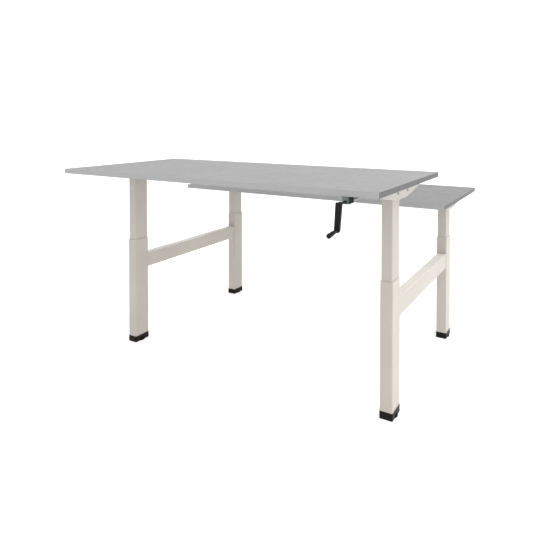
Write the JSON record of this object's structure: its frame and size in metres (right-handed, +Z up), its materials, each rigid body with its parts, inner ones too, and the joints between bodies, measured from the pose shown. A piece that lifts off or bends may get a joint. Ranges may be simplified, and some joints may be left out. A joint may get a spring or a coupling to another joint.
{
  "type": "double height adjustable desk",
  "caption": "Face-to-face double desk on H-shaped side frames; each top rises and sinks on telescopic columns by its own hand crank.",
  "frame": {"origin": "on the floor, midway between the two desktops and the two side frames", "axes": "+X to the right along the desktops' width, +Y from the front (raised) desktop to the rear one, +Z up"},
  "size_m": [1.6, 1.944, 0.962],
  "materials": {
    "laminate": "fine matt grey melamine on chipboard",
    "edge_band": "matt grey ABS edging",
    "frame_paint": "fine-textured warm grey powder coat",
    "casting": "die-cast",
    "gear_steel": "sintered",
    "steel": "bright drawn",
    "galvanised": "blue-grey zinc plate",
    "blackened_steel": "black oxide",
    "crank_plastic": "moulded, satin",
    "liner_plastic": "moulded, matt",
    "black_plastic": "moulded, matt"
  },
  "bodies": {
    "base": {"front_left_outer_tube": "frame_paint", "front_right_outer_tube": "frame_paint", "rear_left_outer_tube": "frame_paint", "rear_right_outer_tube": "frame_paint", "left_beam": "frame_paint", "right_beam": "frame_paint", "front_left_foot_cap": "black_plastic", "front_right_foot_cap": "black_plastic", "rear_left_foot_cap": "black_plastic", "rear_right_foot_cap": "black_plastic", "column_liners": "liner_plastic", "nut_columns": "steel"},
    "front_top": {"front_top_board": "laminate", "front_edge_band": "edge_band", "front_left_arm": "frame_paint", "front_right_arm": "frame_paint", "front_rail": "frame_paint", "front_left_inner_tube": "frame_paint", "front_right_inner_tube": "frame_paint", "front_left_head": "casting", "front_right_head": "casting", "front_crank_gearbox": "casting", "front_crank_bracket": "galvanised", "front_crank_bush": "crank_plastic", "front_top_screws": "galvanised", "front_frame_screws": "galvanised"},
    "front_crank": {"front_crank_shaft": "blackened_steel", "front_crank_arm": "crank_plastic", "front_crank_pin": "steel"},
    "front_grip": {"front_crank_grip": "crank_plastic"},
    "front_cross": {"front_cross_shaft": "steel", "front_cross_bevels": "gear_steel"},
    "front_left_screw": {"front_left_spindle": "steel"},
    "front_right_screw": {"front_right_spindle": "steel"},
    "rear_top": {"rear_top_board": "laminate", "rear_edge_band": "edge_band", "rear_left_arm": "frame_paint", "rear_right_arm": "frame_paint", "rear_rail": "frame_paint", "rear_left_inner_tube": "frame_paint", "rear_right_inner_tube": "frame_paint", "rear_left_head": "casting", "rear_right_head": "casting", "rear_crank_gearbox": "casting", "rear_crank_bracket": "galvanised", "rear_crank_bush": "crank_plastic", "rear_top_screws": "galvanised", "rear_frame_screws": "galvanised"},
    "rear_crank": {"rear_crank_shaft": "blackened_steel", "rear_crank_arm": "crank_plastic", "rear_crank_pin": "steel"},
    "rear_grip": {"rear_crank_grip": "crank_plastic"},
    "rear_cross": {"rear_cross_shaft": "steel", "rear_cross_bevels": "gear_steel"},
    "rear_left_screw": {"rear_left_spindle": "steel"},
    "rear_right_screw": {"rear_right_spindle": "steel"},
    "front_left_foot": {"front_left_glide": "black_plastic"},
    "front_right_foot": {"front_right_glide": "black_plastic"},
    "rear_left_foot": {"rear_left_glide": "black_plastic"},
    "rear_right_foot": {"rear_right_glide": "black_plastic"}
  },
  "joints": [
    {"name": "front_lift", "type": "slide", "parent": "base", "child": "front_top", "axis": [0, 0, 1], "range_m": [-0.312, 0.088]},
    {"name": "front_crank_turn", "type": "hinge", "parent": "front_top", "child": "front_crank", "pos_m": [0.6745, -0.9, 0.918], "axis": [0, 1, 0], "range_deg": [-22474, 6346]},
    {"name": "front_grip_spin", "type": "hinge", "parent": "front_crank", "child": "front_grip", "pos_m": [0.66802, -0.9397, 0.82535], "axis": [0.0085, 0.9925, 0.1216], "continuous": true},
    {"name": "front_cross_turn", "type": "hinge", "parent": "front_top", "child": "front_cross", "pos_m": [0, -0.46, 0.918], "axis": [1, 0, 0], "range_deg": [-6346, 22474]},
    {"name": "front_left_screw_turn", "type": "hinge", "parent": "front_top", "child": "front_left_screw", "pos_m": [-0.707, -0.46, 0.918], "axis": [0, 0, 1], "range_deg": [-6346, 22474]},
    {"name": "front_right_screw_turn", "type": "hinge", "parent": "front_top", "child": "front_right_screw", "pos_m": [0.707, -0.46, 0.918], "axis": [0, 0, 1], "range_deg": [-22474, 6346]},
    {"name": "rear_lift", "type": "slide", "parent": "base", "child": "rear_top", "axis": [0, 0, 1], "range_m": [-0.138, 0.262]},
    {"name": "rear_crank_turn", "type": "hinge", "parent": "rear_top", "child": "rear_crank", "pos_m": [-0.6745, 0.9, 0.744], "axis": [0, -1, 0], "range_deg": [-9946, 18874]},
    {"name": "rear_grip_spin", "type": "hinge", "parent": "rear_crank", "child": "rear_grip", "pos_m": [-0.66802, 0.9397, 0.65135], "axis": [-0.0085, -0.9925, 0.1216], "continuous": true},
    {"name": "rear_cross_turn", "type": "hinge", "parent": "rear_top", "child": "rear_cross", "pos_m": [0, 0.46, 0.744], "axis": [-1, 0, 0], "range_deg": [-18874, 9946]},
    {"name": "rear_left_screw_turn", "type": "hinge", "parent": "rear_top", "child": "rear_left_screw", "pos_m": [-0.707, 0.46, 0.744], "axis": [0, 0, 1], "range_deg": [-9946, 18874]},
    {"name": "rear_right_screw_turn", "type": "hinge", "parent": "rear_top", "child": "rear_right_screw", "pos_m": [0.707, 0.46, 0.744], "axis": [0, 0, 1], "range_deg": [-18874, 9946]},
    {"name": "front_left_glide_screw", "type": "slide", "parent": "base", "child": "front_left_foot", "axis": [0, 0, 1], "range_m": [-0.01, 0.001]},
    {"name": "front_right_glide_screw", "type": "slide", "parent": "base", "child": "front_right_foot", "axis": [0, 0, 1], "range_m": [-0.01, 0.001]},
    {"name": "rear_left_glide_screw", "type": "slide", "parent": "base", "child": "rear_left_foot", "axis": [0, 0, 1], "range_m": [-0.01, 0.001]},
    {"name": "rear_right_glide_screw", "type": "slide", "parent": "base", "child": "rear_right_foot", "axis": [0, 0, 1], "range_m": [-0.01, 0.001]}
  ],
  "couplings": [
    {"joint": "front_left_screw_turn", "follows": "front_lift", "rad_per_m": -1256.6},
    {"joint": "front_right_screw_turn", "follows": "front_lift", "rad_per_m": 1256.6},
    {"joint": "front_cross_turn", "follows": "front_lift", "rad_per_m": -1256.6},
    {"joint": "front_crank_turn", "follows": "front_lift", "rad_per_m": 1256.6},
    {"joint": "rear_left_screw_turn", "follows": "rear_lift", "rad_per_m": 1256.6},
    {"joint": "rear_right_screw_turn", "follows": "rear_lift", "rad_per_m": -1256.6},
    {"joint": "rear_cross_turn", "follows": "rear_lift", "rad_per_m": -1256.6},
    {"joint": "rear_crank_turn", "follows": "rear_lift", "rad_per_m": 1256.6}
  ]
}
